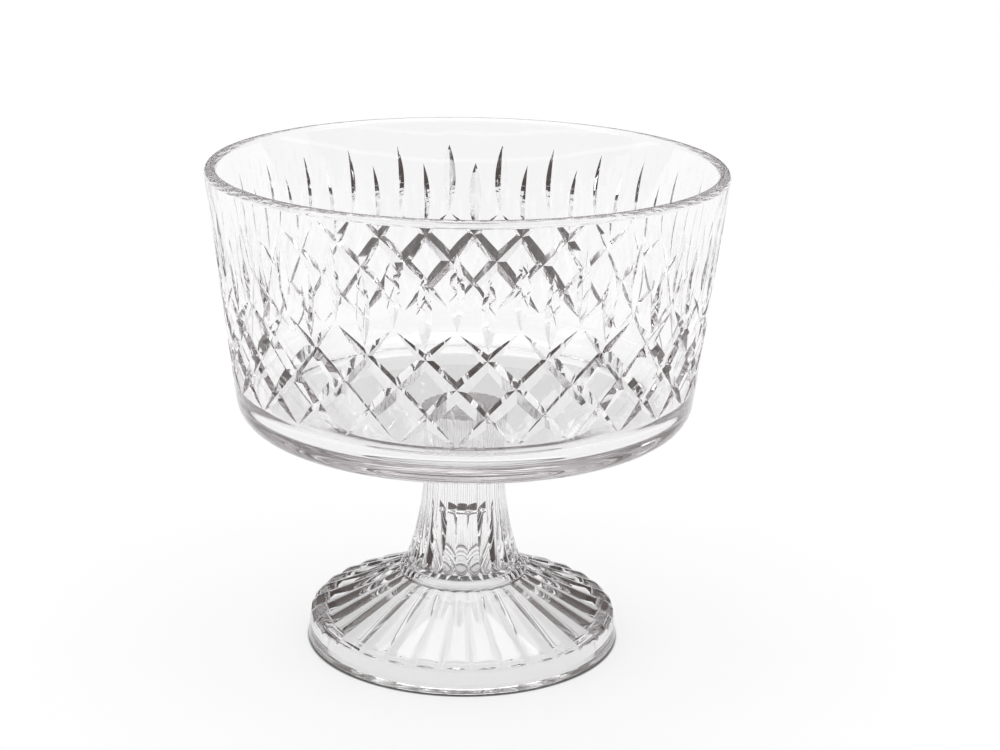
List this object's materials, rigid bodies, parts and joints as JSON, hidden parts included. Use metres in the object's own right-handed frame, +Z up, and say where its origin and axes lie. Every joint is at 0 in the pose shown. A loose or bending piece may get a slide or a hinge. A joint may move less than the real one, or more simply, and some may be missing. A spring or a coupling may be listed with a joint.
{
  "type": "trifle bowl",
  "caption": "Footed clear-glass trifle bowl: a straight-walled bowl with a cut band of olives and diamonds, resting by a peg in a reeded pedestal with a ribbed round foot.",
  "frame": {"origin": "centre of the foot's underside, on the table", "axes": "+Z up along the common axis of the bowl and the pedestal; -Y towards the viewer of the picture"},
  "size_m": [0.18, 0.18, 0.1735],
  "materials": {
    "bowl_glass": "fire-polished pressed glass",
    "pedestal_glass": "fire-polished pressed glass"
  },
  "bodies": {
    "pedestal": {"pedestal": "pedestal_glass"},
    "bowl": {"bowl": "bowl_glass"}
  },
  "joints": [
    {"name": "bowl_lift", "type": "slide", "parent": "pedestal", "child": "bowl", "axis": [0, 0, 1], "range_m": [0, 0.05]}
  ]
}
